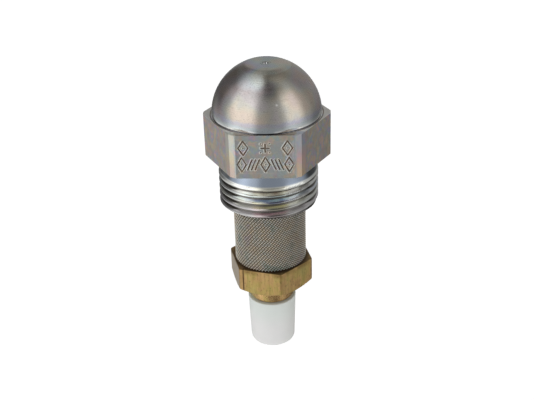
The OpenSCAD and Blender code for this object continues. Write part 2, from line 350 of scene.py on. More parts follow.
def distance_to_stroke(x, z, stroke):
    """Distance from a point to a straight stroke (x1, z1, x2, z2)."""
    x1, z1, x2, z2 = stroke
    along = Vector((x2 - x1, z2 - z1))
    length_squared = along.length_squared
    share = 0.0
    if length_squared > 0:
        share = max(0.0, min(1.0, (Vector((x - x1, z - z1)) @ along) / length_squared))
    return math.hypot(x - x1 - along.x * share, z - z1 - along.y * share)


def punch_marks():
    """Two rows of plain punch marks: dotted diamonds, a cross and slanted hatching."""
    upper, lower = NECK_TOP + 4.5, NECK_TOP + 2.05
    marks = []
    for x in (-2.95, 3.0):
        marks += diamond_mark(x, upper, 1.35, 2.1)
    marks += [(-0.55, upper, 0.55, upper), (0.0, upper - 0.6, 0.0, upper + 0.6)]
    marks += [(x, upper + z, x, upper + z) for x in (-0.6, 0.6) for z in (-0.65, 0.65)]
    for x in (-3.2, 0.0, 3.2):
        marks += diamond_mark(x, lower, 1.2, 2.15)
    for x, lean in ((-1.6, 0.3), (1.6, -0.3)):
        for shift in (-0.5, 0.0, 0.5):
            marks.append((x + shift - lean, lower - 0.75, x + shift + lean, lower + 0.75))
    return marks


def diamond_mark(x, z, width, height):
    """The strokes of a diamond with a dot in its middle."""
    corners = [(x, z + height / 2), (x - width / 2, z), (x, z - height / 2), (x + width / 2, z)]
    sides = zip(corners, corners[1:] + corners[:1])
    return [(*start, *end) for start, end in sides] + [(x, z, x, z)]


def stamp_front_flat(piece):
    """Refines the front flat and presses the punch marks into it, with raised burrs."""
    flat_y = -HEX_AF / 2 + 0.01
    half_w, low, high = 4.0, NECK_TOP + 0.5, HEX_TOP - 0.5
    depth, half_stroke = 0.12, 0.085
    burr, burr_w = 0.05, 0.07
    # The flat sinks by this much in its middle, so that the burrs stay inside the body's box.
    relief, relief_edge = 0.05, 0.5
    work = bmesh.new()
    work.from_mesh(piece.data)
    edges = set()
    for face in work.faces:
        x, y, z = face.calc_center_median() / MM
        if abs(x) < half_w and y < flat_y and low < z < high:
            edges.update(edge for edge in face.edges
                         if abs(edge.verts[0].co.z - edge.verts[1].co.z) > 0.1 * MM)
    bmesh.ops.subdivide_edges(work, edges=list(edges), cuts=9, use_grid_fill=True)
    strokes = punch_marks()
    for vert in work.verts:
        x, y, z = vert.co / MM
        if y > flat_y or abs(x) > half_w or not low - 0.1 < z < high + 0.1:
            continue
        near = min(distance_to_stroke(x, z, stroke) for stroke in strokes)
        wear = 0.85 + 0.15 * math.sin(2.9 * x + 1.3 * z) * math.cos(2.1 * z - 1.6 * x)
        cut = depth * wear * (1 - smoothstep(half_stroke * 0.3, half_stroke * 1.3, near))
        ridge = burr * wear * math.exp(-((near - half_stroke * 1.75) / burr_w) ** 2)
        inside = smoothstep(0.0, relief_edge, min(half_w - abs(x), z - low, high - z))
        vert.co.y += (relief * inside + cut - ridge * inside) * MM
    work.to_mesh(piece.data)
    work.free()


def add_chatter(piece):
    """Fine tool chatter across the upper turns of the thread, on the front right."""
    centre, half_span, step = math.radians(-57), math.radians(15), math.radians(1.8)
    size, bottom, top, inner_r = 0.024, 2.4, 5.2, 6.4
    for vert in piece.data.vertices:
        x, y, z = vert.co / MM
        radius = math.hypot(x, y)
        if not bottom < z < top or radius < inner_r:
            continue
        angle = math.atan2(y, x)
        window = 1 - smoothstep(0.5, 1.0, abs(angle - centre) / half_span)
        window *= 1 - smoothstep(top - 0.4, top - 0.1, z)
        wave = size * window * (math.sin(2 * math.pi * (angle / step + z * 0.5)) - 1)
        scale = (radius + wave) / radius
        vert.co.x *= scale
        vert.co.y *= scale


def body_zone(x, y, z):
    """Which of the body's finishes a face takes: 0 dome, 1 hexagon, 2 thread, 3 bores."""
    radius = math.hypot(x, y)
    if z < HEX_TOP and radius < 6.4:
        return 3
    if z > HEX_TOP + 0.005:
        return 0 if radius > CHAMBER_R + 0.1 or z > DOME_TOP - 0.6 else 3
    return 1 if z >= NECK_TOP - 0.02 else 2


def build_body():
    """The steel body as one watertight mesh, with zones of material by height."""
    edges = hexagon_edges(HEX_AF, HEX_CORNER_R, FRONT)
    angles = spread_angles(1.6, edges, fine=(-118, -42), fine_step=0.38)
    piece = turned_mesh("turned_body", angles, body_rows(), body_row_joined)
    stamp_front_flat(piece)
    add_chatter(piece)
    for finish in (dome_steel(), hexagon_steel(), thread_steel(), bore_steel()):
        piece.data.materials.append(finish)
    for face in piece.data.polygons:
        face.material_index = body_zone(*(Vector(face.center) / MM))
    hand_over(piece, 20, "nozzle_body", "nozzle")


# ---- strainer stem

def stem_rows():
    """The stem's section as one loop: up the outside from the spigot, down the bore."""
    return spigot_rows() + stem_hexagon_rows() + shoulder_and_nose_rows()


def spigot_rows():
    """The barbed spigot that holds the sleeve, and the rounded collar above it."""
    bottom, barbs, barb_depth = COLLAR_BOTTOM - SPIGOT_H, 3, 0.3
    rows = [ring(STEM_BORE_R, bottom), ring(SPIGOT_R - 0.25, bottom), ring(SPIGOT_R, bottom + 0.25)]
    for i in range(barbs):
        groove = bottom + 1.2 + 1.7 * i
        rows += [ring(SPIGOT_R, groove - 0.45), ring(SPIGOT_R - barb_depth, groove - 0.05),
                 ring(SPIGOT_R - barb_depth, groove + 0.05), ring(SPIGOT_R, groove + 0.45)]
    rows += [ring(SPIGOT_R, COLLAR_BOTTOM - 0.05), ring(SPIGOT_R + 0.05, COLLAR_BOTTOM)]
    edge = 0.6
    rows += arc_rows(COLLAR_R - edge, COLLAR_BOTTOM + edge, edge, -90, 0, 7)
    rows += arc_rows(COLLAR_R - edge, COLLAR_TOP - edge, edge, 0, 75, 7)
    rows += [ring(COLLAR_NECK_R + 0.05, COLLAR_TOP - 0.02), ring(COLLAR_NECK_R, COLLAR_TOP + 0.06),
             ring(COLLAR_NECK_R, STEM_HEX_BOTTOM - 0.1), ring(COLLAR_NECK_R + 0.1, STEM_HEX_BOTTOM)]
    return rows


def stem_hexagon_rows():
    """The stem's hexagon, with a turned chamfer round its lower corners."""
    flat = math.radians(STEM_ANGLE - 90)
    chamfer_r, chamfer_steps, side_steps = STEM_AF / 2 - 0.1, 9, 5
    chamfer_h = (STEM_CORNER_R - chamfer_r) * math.tan(math.radians(30))
    edge = 0.06
    rows = [ring(chamfer_r - 0.08, STEM_HEX_BOTTOM), ring(chamfer_r, STEM_HEX_BOTTOM + 0.02)]
    for i in range(1, chamfer_steps + 1):
        share = i / chamfer_steps
        corner_r = chamfer_r + (STEM_CORNER_R - chamfer_r) * share
        height = STEM_HEX_BOTTOM + 0.02 + chamfer_h * share
        rows.append(hexagon_row(STEM_AF, corner_r, flat, height))
    side_h = STEM_HEX_TOP - STEM_HEX_BOTTOM - chamfer_h - edge
    for i in range(1, side_steps + 1):
        height = STEM_HEX_BOTTOM + chamfer_h + side_h * i / side_steps
        rows.append(hexagon_row(STEM_AF, STEM_CORNER_R, flat, height))
    return rows + [hexagon_row(STEM_AF, STEM_CORNER_R, flat, STEM_HEX_TOP, edge)]


def shoulder_and_nose_rows():
    """The shoulder under the strainer, the tube, the threaded nose, and the socket in its tip."""
    shoulder_r, shoulder_top, tip = 4.1, STEM_HEX_TOP + 1.1, STEM_HIGH.z
    socket_r, socket_h = 1.95, 0.6
    rows = [ring(shoulder_r, STEM_HEX_TOP), ring(shoulder_r, shoulder_top - 0.08),
            ring(shoulder_r - 0.08, shoulder_top), ring(TUBE_R, shoulder_top),
            ring(TUBE_R, NOSE["bottom"])]
    rows += nose_rows()
    return rows + [ring(TUBE_R, tip - 0.1), ring(TUBE_R - 0.1, tip), ring(socket_r, tip),
                   ring(socket_r, tip - socket_h), ring(STEM_BORE_R, tip - socket_h)]


def nose_rows():
    """Three threaded ribs round the tube, with oil slots between them."""
    half_slot = math.radians(HALF_SLOT)
    crest_r, root_r = NOSE["crest_r"], NOSE["root_r"]

    def rib(radius, height):
        def row(angle):
            from_slot = (angle + math.radians(60)) % math.radians(120) - math.radians(60)
            return (TUBE_R if abs(from_slot) < half_slot else radius), height
        return row

    rows = [rib(crest_r - 0.2, NOSE["bottom"]), rib(crest_r, NOSE["bottom"] + 0.2)]
    for i in range(NOSE["grooves"]):
        groove = NOSE["bottom"] + 0.6 + i * NOSE["pitch"]
        rows += [rib(crest_r, groove - 0.28), rib(root_r, groove - 0.05),
                 rib(root_r, groove + 0.05), rib(crest_r, groove + 0.28)]
    return rows + [rib(crest_r, NOSE["top"] - 0.05), rib(crest_r - 0.15, NOSE["top"])]


def build_stem():
    """The brass stem, from its threaded nose to its barbed spigot."""
    edges = hexagon_edges(STEM_AF, STEM_CORNER_R, STEM_ANGLE - 90)
    for k in range(3):
        for side in (-HALF_SLOT, HALF_SLOT):
            edges += [120 * k + side - 0.1, 120 * k + side + 0.1]
    piece = turned_mesh("brass_stem", spread_angles(2.0, edges), stem_rows())
    piece.data.materials.append(tarnished_brass())
    hand_over(piece, 24, "strainer_stem", "stem")


# ---- sleeve

def build_sleeve():
    """The white plastic sleeve, tapered and rounded at its lower edge."""
    top, bottom = SLEEVE_HIGH.z, SLEEVE_LOW.z
    edge_r, rim_r, steps = 0.7, 0.12, 8
    bore_r, socket_r, shelf = 1.5, 2.35, top - 6.2
    rows = [ring(bore_r, bottom + 0.12), ring(bore_r + 0.12, bottom)]
    rows += arc_rows(SLEEVE_BOTTOM_R - edge_r, bottom + edge_r, edge_r, -90, 0, 10)
    for i in range(1, steps):
        share = i / steps
        radius = SLEEVE_BOTTOM_R + (SLEEVE_TOP_R - SLEEVE_BOTTOM_R) * share
        rows.append(ring(radius, bottom + edge_r + (top - bottom - edge_r) * share))
    rows += arc_rows(SLEEVE_TOP_R - rim_r, top - rim_r, rim_r, 0, 90, 4)
    rows += [ring(socket_r + 0.15, top), ring(socket_r + 0.01, top - 0.14),
             ring(socket_r, shelf + 0.1), ring(socket_r - 0.1, shelf),
             ring(bore_r + 0.1, shelf), ring(bore_r, shelf - 0.1)]
    piece = turned_mesh("white_sleeve", spread_angles(2.5), rows)
    piece.data.materials.append(waxy_plastic())
    hand_over(piece, 35, "sealing_sleeve", "sleeve")


# ---- strainer mesh

def across_rate(family):
    """How fast the count of a family's wires grows round the sleeve and up it, per millimetre."""
    around = family["count"] / (2 * math.pi * MESH_R)
    upward = -around / math.tan(math.radians(family["slope"]))
    return around, upward


def wire_family(name, family, crossed, side_of_crimp):
    """Parallel wires wound at a slope, each crimped over and under those that it crosses."""
    around, upward = across_rate(family)
    other_around, other_upward = across_rate(crossed)
    end_gap = 0.07
    bottom, top = MESH_LOW.z + end_gap, MESH_HIGH.z - end_gap
    turn_per_mm = -upward / around / MESH_R
    crossings = (top - bottom) * abs(other_upward - other_around * upward / around)
    steps_per_crossing, sides = 4, 6
    steps = round(crossings * steps_per_crossing)
    verts, faces = [], []
    for wire in range(family["count"]):
        for i in range(steps + 1):
            height = bottom + (top - bottom) * i / steps
            arc = (wire - upward * height) / around
            angle = arc / MESH_R
            phase = wire + other_around * arc + other_upward * height
            crimp = side_of_crimp * WIRE_R * math.cos(math.pi * phase)
            out = Vector((math.cos(angle), math.sin(angle), 0))
            tangent = Vector((-out.y * MESH_R * turn_per_mm, out.x * MESH_R * turn_per_mm, 1))
            side = out.cross(tangent).normalized()
            centre = out * (MESH_R + crimp) + Vector((0, 0, height))
            for k in range(sides):
                turn = 2 * math.pi * k / sides
                spoke = out * math.cos(turn) + side * math.sin(turn)
                verts.append((centre + spoke * WIRE_R) * MM)
        first = wire * (steps + 1) * sides
        for i in range(steps):
            for k in range(sides):
                a = first + i * sides + k
                b = first + i * sides + (k + 1) % sides
                faces.append((a, a + sides, b + sides, b))
        faces.append(tuple(first + k for k in range(sides)))
        last = first + steps * sides
        faces.append(tuple(last + sides - 1 - k for k in range(sides)))
    mesh = bpy.data.meshes.new(name)
    mesh.from_pydata(verts, [], faces)
    return add_object(name, mesh)


def build_strainer_mesh():
    """The woven sleeve: two families of wires that cross on the bias."""
    finish = woven_wire()
    for name, family, crossed, crimp in (
            ("rising_wires", RISING_WIRES, FALLING_WIRES, 1),
            ("falling_wires", FALLING_WIRES, RISING_WIRES, -1)):
        piece = wire_family(name, family, crossed, crimp)
        piece.data.materials.append(finish)
        hand_over(piece, 80, "strainer_mesh", "strainer")


# ---- material helpers

class Nodes:
    """A node tree with short calls for the nodes that the finishes and the studio share."""

    def __init__(self, tree):
        self.tree = tree
        tree.nodes.clear()

    def add(self, kind, **settings):
        node = self.tree.nodes.new(kind)
        for key, value in settings.items():
            setattr(node, key, value)
        return node

    def join(self, source, target):
        """Links an output to an input, or sets the input when source is a plain value."""
        if hasattr(source, "node"):
            self.tree.links.new(source, target)
        else:
            target.default_value = source

    def math(self, operation, *values):
        node = self.add("ShaderNodeMath", operation=operation)
        for value, socket in zip(values, node.inputs):
            self.join(value, socket)
        return node.outputs[0]

    def times(self, *factors):
        """The product of values. A tuple among them stands for the arguments of span."""
        values = [self.span(*each) if isinstance(each, tuple) else each for each in factors]
        product = values[0]
        for value in values[1:]:
            product = self.math("MULTIPLY", product, value)
        return product

    def plus(self, first, second):
        return self.math("ADD", first, second)

    def distance(self, value, place):
        """How far a value is from a place, without its sign."""
        return self.math("ABSOLUTE", self.math("SUBTRACT", value, place))

    def ramp(self, value, stops, ease="LINEAR"):
        """A colour picked along stops, a list of (position, colour)."""
        node = self.add("ShaderNodeValToRGB")
        node.color_ramp.interpolation = ease
        elements = node.color_ramp.elements
        while len(elements) < len(stops):
            elements.new(1.0)
        for element, (position, colour) in zip(elements, stops):
            element.position = position
            element.color = (*colour, 1.0)
        self.join(value, node.inputs["Fac"])
        return node.outputs["Color"]

    def span(self, value, low, high, to_low=0.0, to_high=1.0):
        """value mapped from low..high to to_low..to_high, held at the ends, smoothly."""
        node = self.add("ShaderNodeMapRange", interpolation_type="SMOOTHSTEP")
        for key, setting in zip(("From Min", "From Max", "To Min", "To Max"),
                                (low, high, to_low, to_high)):
            node.inputs[key].default_value = setting
        self.join(value, node.inputs["Value"])
        return node.outputs["Result"]

    def mix(self, share, first, second):
        """first where share is 0, and second where it is 1."""
        node = self.add("ShaderNodeMix", data_type="RGBA")
        self.join(share, node.inputs["Factor"])
        for socket, value in ((node.inputs["A"], first), (node.inputs["B"], second)):
            self.join((*value, 1.0) if isinstance(value, tuple) else value, socket)
        return node.outputs["Result"]


class Coat(Nodes):
    """A material, whose patterns are laid out in the piece's own millimetres."""

    def __init__(self, name):
        self.material = bpy.data.materials.new(name)
        self.material.use_nodes = True
        super().__init__(self.material.node_tree)
        self.surface = self.add("ShaderNodeBsdfPrincipled")
        output = self.add("ShaderNodeOutputMaterial")
        self.join(self.surface.outputs["BSDF"], output.inputs["Surface"])
        self.place = self.add("ShaderNodeTexCoord").outputs["Object"]
        self.colour = None

    def vector(self, operation, *values, output="Vector"):
        node = self.add("ShaderNodeVectorMath", operation=operation)
        for value, socket in zip(values, node.inputs):
            self.join(value, socket)
        return node.outputs[output]

    def parts(self):
        """x, y, z in millimetres and the distance from the axis."""
        split = self.add("ShaderNodeSeparateXYZ")
        self.join(self.vector("MULTIPLY", self.place, (1 / MM,) * 3), split.inputs[0])
        x, y, z = split.outputs
        radius = self.math("SQRT", self.plus(self.times(x, x), self.times(y, y)))
        return x, y, z, radius

    def facing(self):
        """0 where the surface faces the view, and 1 where it is seen edge-on."""
        return self.add("ShaderNodeLayerWeight").outputs["Facing"]

    def noise(self, per_mm, detail=3.0, roughness=0.5, stretch=(1, 1, 1), shift=0.0):
        """A noise value whose features are about 1 / per_mm millimetres wide."""
        node = self.add("ShaderNodeTexNoise")
        scale = tuple(per_mm / MM * share for share in stretch)
        moved = self.vector("ADD", self.vector("MULTIPLY", self.place, scale), (shift,) * 3)
        self.join(moved, node.inputs["Vector"])
        node.inputs["Scale"].default_value = 1.0
        node.inputs["Detail"].default_value = detail
        node.inputs["Roughness"].default_value = roughness
        return node.outputs["Fac"]

    def lines(self, value, per_mm):
        """Noise along one value in millimetres, which gives turned lines."""
        node = self.add("ShaderNodeTexNoise", noise_dimensions="1D")
        self.join(self.times(value, per_mm), node.inputs["W"])
        node.inputs["Scale"].default_value = 1.0
        node.inputs["Detail"].default_value = 4.0
        node.inputs["Roughness"].default_value = 0.7
        return node.outputs["Fac"]

    def level(self, noise, low, high):
        """low to high, following a noise over the range that it mostly keeps to."""
        return self.span(noise, 0.3, 0.7, low, high)

    def blend(self, first, share, second):
        """first weighted by share, plus second weighted by the rest."""
        return self.plus(self.times(first, share), self.times(second, round(1 - share, 2)))

    def paint(self, colour, *shares):
        """Lays a colour over the colours so far, by the product of shares, or starts with it."""
        self.colour = self.mix(self.times(*shares), self.colour, colour) if shares else colour

    def finish(self, roughness, relief=None, depth_mm=0.0, **more):
        """Sets the surface, with relief of about depth_mm millimetres, and gives the material.

        more holds further inputs of the surface, in lower case with underscores.
        """
        if relief is not None:
            bump = self.add("ShaderNodeBump")
            bump.inputs["Strength"].default_value = 1.0
            bump.inputs["Distance"].default_value = depth_mm * MM
            self.join(relief, bump.inputs["Height"])
            more["normal"] = bump.outputs["Normal"]
        more.update(base_color=self.colour, roughness=roughness)
        for key, value in more.items():
            self.join(value, self.surface.inputs[key.replace("_", " ").title()])
        return self.material


# ---- steel

# Colours of a passivated surface in the order in which its film thickens.
FILM = [(0.0, (0.70, 0.50, 0.58)), (0.22, (0.78, 0.60, 0.44)), (0.4, (0.62, 0.64, 0.46)),
        (0.58, (0.42, 0.60, 0.60)), (0.76, (0.42, 0.50, 0.72)), (1.0, (0.62, 0.46, 0.68))]

# Film on the thread against the height in millimetres.
THREAD_FILM = [(0.0, (0.66, 0.63, 0.60)), (0.8, (0.56, 0.46, 0.46)), (1.1, (0.46, 0.30, 0.32)),
               (1.45, (0.84, 0.70, 0.74)), (1.9, (0.54, 0.52, 0.40)), (2.4, (0.60, 0.56, 0.32)),
               (2.75, (0.86, 0.82, 0.56)), (3.1, (0.24, 0.28, 0.52)), (3.5, (0.66, 0.82, 0.76)),
               (3.85, (0.90, 0.92, 0.84)), (4.2, (0.42, 0.30, 0.22)), (4.6, (0.90, 0.88, 0.74))]

# Film on the two turned corners beside the front flat, from the bottom up: -1 left, 1 right.
CORNER_FILMS = {
    -1: [(0.1, (0.70, 0.55, 0.46)), (0.4, (0.72, 0.66, 0.46)), (0.85, (0.66, 0.69, 0.62))],
    1: [(0.1, (0.80, 0.60, 0.42)), (0.45, (0.76, 0.48, 0.46)), (0.85, (0.46, 0.50, 0.60))],
}


def passivation_tint(coat, per_mm, stretch, shift):
    """The faint rainbow of a passivated steel surface, drifting over it and with the view."""
    drift = coat.level(coat.noise(per_mm, 2.0, 0.5, stretch, shift), 0, 1)
    place = coat.plus(drift, coat.times(coat.facing(), 0.35))
    return coat.ramp(coat.math("FRACT", place), FILM, "EASE")


def dome_steel():
    """Turned and brushed dome: fine rings round the axis, polished at the lower rim."""
    coat = Coat("dome_steel")
    x, _, z, radius = coat.parts()
    up = coat.math("SUBTRACT", z, HEX_TOP)
    off_middle = coat.distance(x, 0.0)
    rings = coat.lines(coat.plus(z, coat.times(radius, 1.3)), 14.0)
    grain = coat.noise(5.0, 4.0, 0.7)
    patches = coat.noise(0.45, 5.0, 0.6, (1, 1, 0.8), 3.0)
    ragged = coat.plus(up, coat.level(patches, -0.25, 0.25))

    coat.paint(coat.ramp(patches, [(0.3, (0.46, 0.42, 0.375)), (0.52, (0.60, 0.55, 0.50)),
                                   (0.72, (0.57, 0.54, 0.50))]))
    coat.paint((0.64, 0.55, 0.475), (up, 5.6, 4.2, 0.0, 0.55))
    upper_right = coat.times((up, 4.2, 6.0), (x, -1.0, 1.5, 0.25, 0.7))
    coat.paint((0.50, 0.44, 0.36), upper_right)
    # Painted shade on the left of the dome, below its upper part.
    shaded_left = coat.times((x, -3.7, -4.8, 0.0, 0.55), (x, -6.8, -5.8), (up, 5.2, 3.6))
    coat.paint((0.30, 0.28, 0.26), shaded_left)
    # A painted pale blue highlight on the upper left of the dome, below the flat.
    pale = coat.times((up, 5.0, 5.9, 0.0, 0.6), (coat.distance(x, -1.9), 2.2, 1.2))
    coat.paint((0.86, 0.92, 0.92), pale)
    on_flat = coat.span(z, DOME_TOP - 0.4, DOME_TOP - 0.3)
    coat.paint((0.68, 0.68, 0.66), on_flat, 0.8)
    coat.paint(passivation_tint(coat, 0.2, (1, 1, 1), 7.0), (on_flat, 0, 1, 0.2, 0.4))

    rim = coat.span(ragged, 1.15, 0.7)
    coat.paint((0.50, 0.55, 0.58), rim)
    # Painted reflections on the land above the groove, away from the middle: a pale band, and a
    # bright glint along its foot.
    coat.paint((0.69, 0.73, 0.72), (up, 0.85, 0.45), (off_middle, 1.2, 3.0))
    coat.paint((0.97, 0.99, 1.0), (up, 0.48, 0.32), (off_middle, 0.8, 2.0))
    # A small painted highlight on the front of the dome.
    from_glint = coat.vector("LENGTH", coat.vector("SUBTRACT", coat.place, DOME_GLINT),
                            output="Value")
    coat.paint((1.0, 0.98, 0.95), (from_glint, 0.2 * MM, 0.1 * MM))
    # Painted shade in the groove at the dome's foot.
    rim_groove_shade = coat.times((radius, DOME_R - 0.05, DOME_R - 0.12), (up, 0.17, 0.12))
    coat.paint((0.22, 0.21, 0.22), rim_groove_shade)
    fringe = coat.times((ragged, 1.7, 1.2), (ragged, 0.8, 1.1), 0.5)
    coat.paint((0.42, 0.46, 0.62), fringe)
    coat.paint((0.30, 0.27, 0.25), (grain, 0.52, 0.72, 0.0, 0.45))

    # Painted shade in the mouth of the orifice. The polished countersink is painted near white as
    # its highlight, and painted shade down the middle splits it into two glints.
    coat.paint((0.10, 0.09, 0.09), on_flat, (radius, 0.46, 0.42))
    orifice_seat = coat.times(on_flat, (radius, 0.38, 0.35))
    coat.paint((0.97, 0.97, 0.97), orifice_seat)
    coat.paint((0.05, 0.045, 0.045), orifice_seat, (off_middle, 0.09, 0.05))

    rough = coat.plus(coat.level(rings, 0.22, 0.27), coat.level(grain, -0.03, 0.05))
    rough = coat.times(rough, (rim, 0, 1, 1.0, 0.5), (orifice_seat, 0, 1, 1.0, 0.3))
    round_axis = coat.vector("CROSS_PRODUCT", (0.0, 0.0, 1.0), coat.place)
    return coat.finish(rough, coat.blend(rings, 0.3, grain), 0.006, metallic=1.0,
                       anisotropic=0.7, anisotropic_rotation=0.25, tangent=round_axis)


def hexagon_steel():
    """Drawn bar, satin, with the coloured film of the passivation and painted highlights and shade.
    """
    coat = Coat("hexagon_steel")
    x, y, z, radius = coat.parts()
    off_middle = coat.distance(x, 0.0)
    inwards = coat.plus(y, HEX_AF / 2)
    streaks = coat.noise(1.6, 5.0, 0.65, (1.2, 1.2, 0.55))
    grain = coat.noise(6.0, 4.0, 0.65)

    coat.paint(coat.ramp(streaks, [(0.25, (0.45, 0.38, 0.32)), (0.55, (0.58, 0.505, 0.425)),
                                   (0.8, (0.63, 0.565, 0.49))]))
    blotches = coat.noise(0.7, 4.0, 0.65, (1, 1, 1), 21.0)
    coat.paint(passivation_tint(coat, 0.8, (1, 1, 0.9), 1.5), (blotches, 0.40, 0.62, 0.15, 0.65))
    cloud = coat.noise(0.9, 4.0, 0.6, (1, 1, 0.8), 33.0)
    coat.paint((0.46, 0.53, 0.54), (inwards, 0.12, 0.08), (cloud, 0.42, 0.56, 0.1, 0.7))

    # Painted highlights on the raised burrs round the punch marks.
    burrs = coat.times((inwards, 0.04, 0.02), (off_middle, 3.72, 3.68),
                       (coat.distance(z, NECK_TOP + HEX_H / 2), 2.42, 2.38),
                       (grain, 0.38, 0.62, 0.1, 0.75))
    coat.paint((0.90, 0.86, 0.78), burrs)
    strokes = coat.times((inwards, 0.07, 0.14), (y, -7.3, -7.5), (off_middle, 3.98, 3.9))
    coat.paint((0.28, 0.19, 0.13), strokes)

    # Painted shade on the top face beside the dome's foot and at its corners.
    beside_dome = coat.times((radius, 7.85, 7.65), (off_middle, 3.5, 5.0))
    shaded_top = coat.math("MAXIMUM", beside_dome, coat.span(radius, 8.75, 8.55, 0.0, 0.6))
    coat.paint((0.26, 0.23, 0.20), shaded_top, (z, HEX_TOP - 0.02, HEX_TOP - 0.01))
    # A painted highlight along the upper edges, at the sides.
    lit_top_edge = coat.times((z, HEX_TOP - 0.09, HEX_TOP - 0.05), (radius, 7.9, 8.0, 0.0, 0.8),
                           (off_middle, 4.4, 5.2))
    coat.paint((0.98, 0.97, 0.92), lit_top_edge)
    up_the_side = coat.span(z, NECK_TOP, HEX_TOP)
    for side, film in CORNER_FILMS.items():
        corner = coat.times((x, side * 4.0, side * 4.4), (y, -6.4, -6.8, 0.0, 0.65))
        coat.paint(coat.ramp(up_the_side, film), corner)
    return coat.finish(coat.level(grain, 0.40, 0.54), coat.blend(streaks, 0.6, grain), 0.012,
                       metallic=1.0)


def thread_steel():
    """Polished thread and neck, with the strongest colours of the passivation and painted shade."""
    coat = Coat("thread_steel")
    x, _, z, radius = coat.parts()
    rings = coat.lines(z, 7.0)
    grain = coat.noise(5.0, 3.0, 0.6)
    drift = coat.noise(0.3, 3.0, 0.5, (1.0, 1.0, 3.0), 11.0)
    film = coat.ramp(
        coat.math("DIVIDE", coat.plus(z, coat.level(drift, -0.3, 0.3)), SHOULDER_TOP),
        [(at / SHOULDER_TOP, colour) for at, colour in THREAD_FILM])
    off_middle = coat.distance(x, 0.4)
    sides = coat.span(off_middle, 1.6, 3.4)
    coat.paint((0.95, 0.98, 0.99))
    coat.paint(film, (sides, 0, 1, 0.85, 0.35))

    # Painted shade lies on the lower turns beside the middle, and on the far right.
    low = coat.plus(z, coat.span(x, 0.5, 3.0, 0.0, 0.7))
    low_sides = coat.times(sides, (off_middle, 5.4, 4.4), (low, 3.1, 2.3, 0.0, 0.5))
    far_right = coat.times((x, 4.2, 4.8), (x, 6.1, 5.5), (z, 1.8, 2.6, 0.0, 0.5))
    dull = coat.times(coat.math("MAXIMUM", low_sides, far_right), (z, 4.8, 4.5))
    coat.paint((0.10, 0.095, 0.085), dull)

    neck = coat.span(z, SHOULDER_TOP - 0.1, SHOULDER_TOP + 0.3)
    coat.paint((0.34, 0.42, 0.56), neck, 0.85)
    # Painted shade on the neck where it turns away from the view.
    coat.paint((0.09, 0.10, 0.10), neck, (coat.facing(), 0.40, 0.54, 0.0, 0.9))
    # Painted shade deep in the grooves, reaching higher up the flanks on the far sides.
    far_side = coat.span(coat.distance(x, 0.6), 4.4, 5.9)
    above_root = coat.math("SUBTRACT", radius, coat.times(far_side, 0.34))
    oil = coat.times(coat.math("SUBTRACT", 1.0, coat.span(above_root, 6.5, 6.66)),
                     (z, SHOULDER_TOP - 0.2, SHOULDER_TOP - 0.5))
    coat.paint((0.17, 0.16, 0.145), oil)
    return coat.finish(coat.level(grain, 0.10, 0.18), coat.blend(rings, 0.7, grain), 0.008,
                       metallic=1.0)


def bore_steel():
    """Machined bores, a little darker, with tool rings."""
    coat = Coat("bore_steel")
    _, _, z, radius = coat.parts()
    rings = coat.lines(coat.plus(z, radius), 6.0)
    coat.paint(coat.ramp(rings, [(0.3, (0.42, 0.41, 0.40)), (0.7, (0.54, 0.53, 0.52))]))
    return coat.finish(coat.level(rings, 0.25, 0.4), rings, 0.008, metallic=1.0)


def lapped_steel():
    """Lapped hardened steel of the parts inside the body."""
    coat = Coat("lapped_steel")
    _, _, z, radius = coat.parts()
    grain = coat.noise(4.0, 3.0, 0.6)
    coat.paint(coat.ramp(grain, [(0.3, (0.36, 0.36, 0.38)), (0.7, (0.46, 0.46, 0.48))]))
    return coat.finish(coat.level(grain, 0.18, 0.3), coat.lines(coat.plus(z, radius), 8.0),
                       0.006, metallic=1.0)


def woven_wire():
    """Drawn wire with patches of brown from the oil, and painted shade on all but the outer crowns.
    """
    coat = Coat("woven_wire")
    x, _, _, radius = coat.parts()
    patches = coat.noise(0.35, 4.0, 0.6, (1, 1, 0.8), 4.0)
    grain = coat.noise(9.0, 3.0, 0.6)
    coat.paint(coat.ramp(patches, [(0.3, (0.86, 0.88, 0.82)), (0.5, (1.0, 0.95, 0.84)),
                                   (0.68, (1.0, 0.86, 0.66))]))
    film = coat.ramp(coat.noise(0.4, 4.0, 0.65, (1, 1, 1), 17.0),
                     [(0.36, (0.42, 0.56, 0.48)), (0.45, (1.0, 0.97, 0.88)),
                      (0.56, (1.0, 0.84, 0.60)), (0.66, (0.74, 0.64, 0.76))])
    coat.paint(film, 0.65)
    crown_colour = coat.colour
    # Painted shade over the wires, and their own colour back on the outer crowns.
    coat.paint((0.03, 0.022, 0.012), 0.86)
    coat.paint(crown_colour, (radius, MESH_R + 0.035, MESH_R + 0.11))
    # Painted shade on the right side of the strainer.
    coat.paint((0.20, 0.18, 0.16), (x, 0.5, 3.5, 0.0, 0.25))
    return coat.finish(coat.level(grain, 0.28, 0.4), grain, 0.003, metallic=0.5)


# ---- brass and plastic

